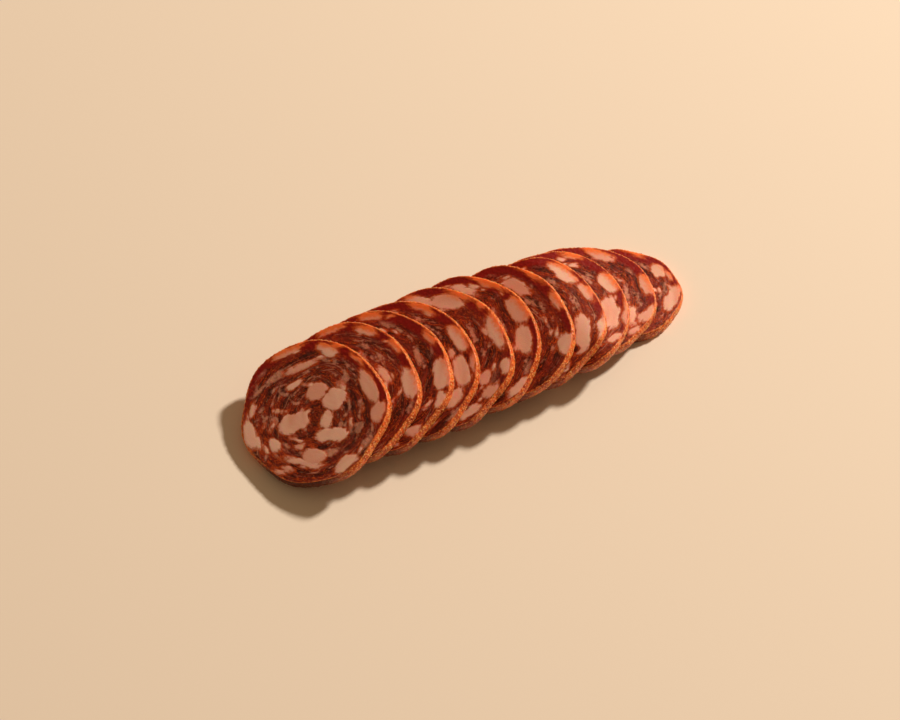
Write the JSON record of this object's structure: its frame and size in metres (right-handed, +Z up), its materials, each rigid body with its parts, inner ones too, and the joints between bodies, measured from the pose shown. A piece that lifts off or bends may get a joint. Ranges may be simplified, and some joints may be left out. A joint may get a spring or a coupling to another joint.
{
  "type": "sliced saucisson",
  "caption": "Cured sausage cut into round slices with fat flecks and a rind, fanned out in a leaning row.",
  "frame": {"origin": "on the ground under the middle of the row's box", "axes": "+X along the row, from the slice on top of the fan to the one that lies flat; +Z up"},
  "size_m": [0.1762, 0.0684, 0.023],
  "materials": {
    "cured_meat": "greasy cured meat with a dry rind"
  },
  "bodies": {
    "root": {"slice_01": "cured_meat", "slice_02": "cured_meat", "slice_03": "cured_meat", "slice_04": "cured_meat", "slice_05": "cured_meat", "slice_06": "cured_meat", "slice_07": "cured_meat", "slice_08": "cured_meat", "slice_09": "cured_meat", "slice_10": "cured_meat", "slice_11": "cured_meat"}
  },
  "joints": []
}
